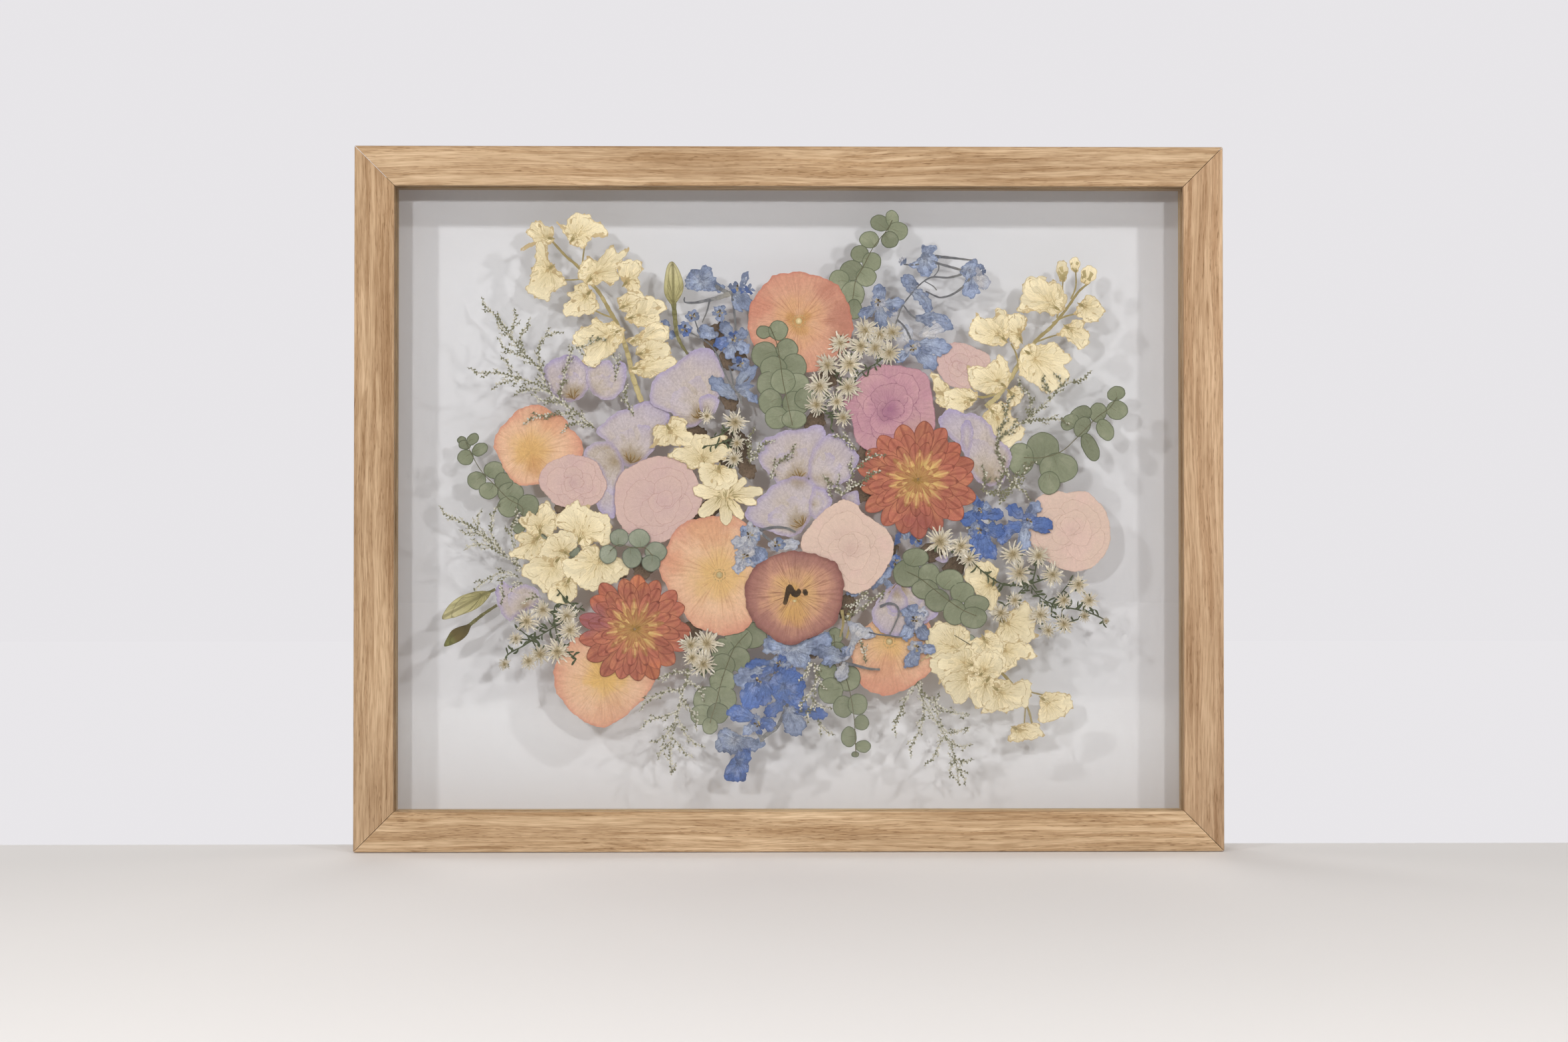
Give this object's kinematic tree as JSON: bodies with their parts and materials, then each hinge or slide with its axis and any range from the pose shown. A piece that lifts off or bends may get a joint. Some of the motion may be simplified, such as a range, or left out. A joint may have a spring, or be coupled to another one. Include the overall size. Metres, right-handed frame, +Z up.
{
  "type": "pressed flower frame",
  "caption": "Pressed garden flowers, leaves and sprigs laid between two clear panes in a deep mitred oak frame that stands on its lower edge.",
  "frame": {"origin": "middle of the underside of the lower member, half way through the frame's depth", "axes": "+X to the right as seen from the front, +Y from the front to the back, +Z up; the glass faces -Y"},
  "size_m": [0.545, 0.038, 0.442],
  "materials": {
    "oak": "planed oak under a thin satin oil, straight grain along each member",
    "oak_fillet": "planed oak bead, satin",
    "glass": "clear float glass, polished on both faces",
    "poppy_petal": "pressed and dried petal, matte",
    "dahlia_petal": "pressed and dried petals, matte",
    "carnation_petal": "pressed and dried ruffled petals, matte",
    "sweet_pea_petal": "pressed and dried petals, matte",
    "stock_petal": "pressed and dried florets on a spike, matte",
    "delphinium_petal": "pressed and dried florets on a spike, matte",
    "eucalyptus_leaf": "pressed and dried leaves, matte",
    "aster_ray": "pressed and dried small daisies on green stems, matte",
    "limonium_twig": "pressed and dried branching filler flower, matte",
    "bud_sepal": "pressed and dried closed bud, matte"
  },
  "bodies": {
    "root": {"frame_top": "oak", "frame_right": "oak", "frame_bottom": "oak", "frame_left": "oak", "front_pane": "glass", "back_pane": "glass", "retaining_fillet": "oak_fillet", "aster_left": "aster_ray", "aster_low_centre": "aster_ray", "aster_right": "aster_ray", "aster_upper": "aster_ray", "bud_left_dark": "bud_sepal", "bud_left_pale": "bud_sepal", "bud_top": "bud_sepal", "carnation_magenta": "carnation_petal", "carnation_pale_centre": "carnation_petal", "carnation_pale_right": "carnation_petal", "carnation_pink_left": "carnation_petal", "carnation_pink_mid": "carnation_petal", "carnation_pink_top": "carnation_petal", "dahlia_left": "dahlia_petal", "dahlia_right": "dahlia_petal", "delphinium_bottom": "delphinium_petal", "delphinium_low_right": "delphinium_petal", "delphinium_pale": "delphinium_petal", "delphinium_right": "delphinium_petal", "delphinium_top_left": "delphinium_petal", "delphinium_top_right": "delphinium_petal", "eucalyptus_bottom_left": "eucalyptus_leaf", "eucalyptus_bottom_right": "eucalyptus_leaf", "eucalyptus_centre": "eucalyptus_leaf", "eucalyptus_left": "eucalyptus_leaf", "eucalyptus_low_right": "eucalyptus_leaf", "eucalyptus_mid_left": "eucalyptus_leaf", "eucalyptus_right": "eucalyptus_leaf", "eucalyptus_top": "eucalyptus_leaf", "limonium_bottom_left": "limonium_twig", "limonium_bottom_right": "limonium_twig", "limonium_left": "limonium_twig", "limonium_right": "limonium_twig", "limonium_top_left": "limonium_twig", "poppy_peach_centre": "poppy_petal", "poppy_peach_left": "poppy_petal", "poppy_peach_low_left": "poppy_petal", "poppy_peach_low_right": "poppy_petal", "poppy_plum_centre": "poppy_petal", "poppy_salmon_top": "poppy_petal", "stock_centre": "stock_petal", "stock_left": "stock_petal", "stock_low_right": "stock_petal", "stock_top_left": "stock_petal", "stock_top_right": "stock_petal", "sweet_pea_centre": "sweet_pea_petal", "sweet_pea_far_left": "sweet_pea_petal", "sweet_pea_left": "sweet_pea_petal", "sweet_pea_low_left": "sweet_pea_petal", "sweet_pea_low_right": "sweet_pea_petal", "sweet_pea_lower": "sweet_pea_petal", "sweet_pea_right": "sweet_pea_petal", "sweet_pea_upper": "sweet_pea_petal"}
  },
  "joints": []
}
